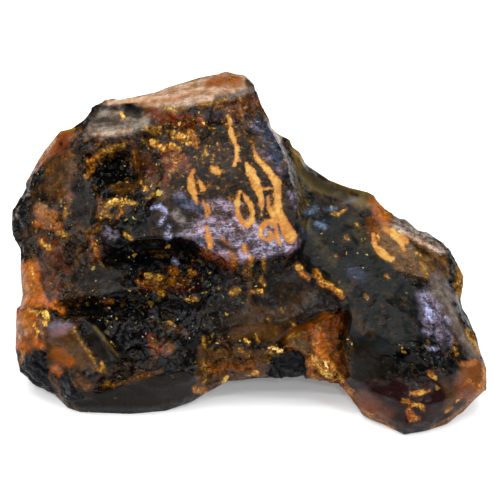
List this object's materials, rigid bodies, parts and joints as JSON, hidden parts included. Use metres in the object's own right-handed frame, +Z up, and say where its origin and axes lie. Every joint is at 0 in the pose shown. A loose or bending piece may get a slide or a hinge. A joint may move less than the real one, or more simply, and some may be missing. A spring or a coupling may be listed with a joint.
{
  "type": "raw amber lump",
  "caption": "Raw lump of dark amber with ledges, pits and glossy broken faces, lying on its flat underside; a natural display or carving piece.",
  "frame": {"origin": "on the resting surface, under the middle of the lump's bounding box", "axes": "+X along the lump's length towards its low arm, +Y towards the back, +Z up from the surface it rests on"},
  "size_m": [0.1108, 0.068, 0.0606],
  "materials": {
    "amber": "glossy"
  },
  "bodies": {
    "root": {"amber_lump": "amber"}
  },
  "joints": []
}
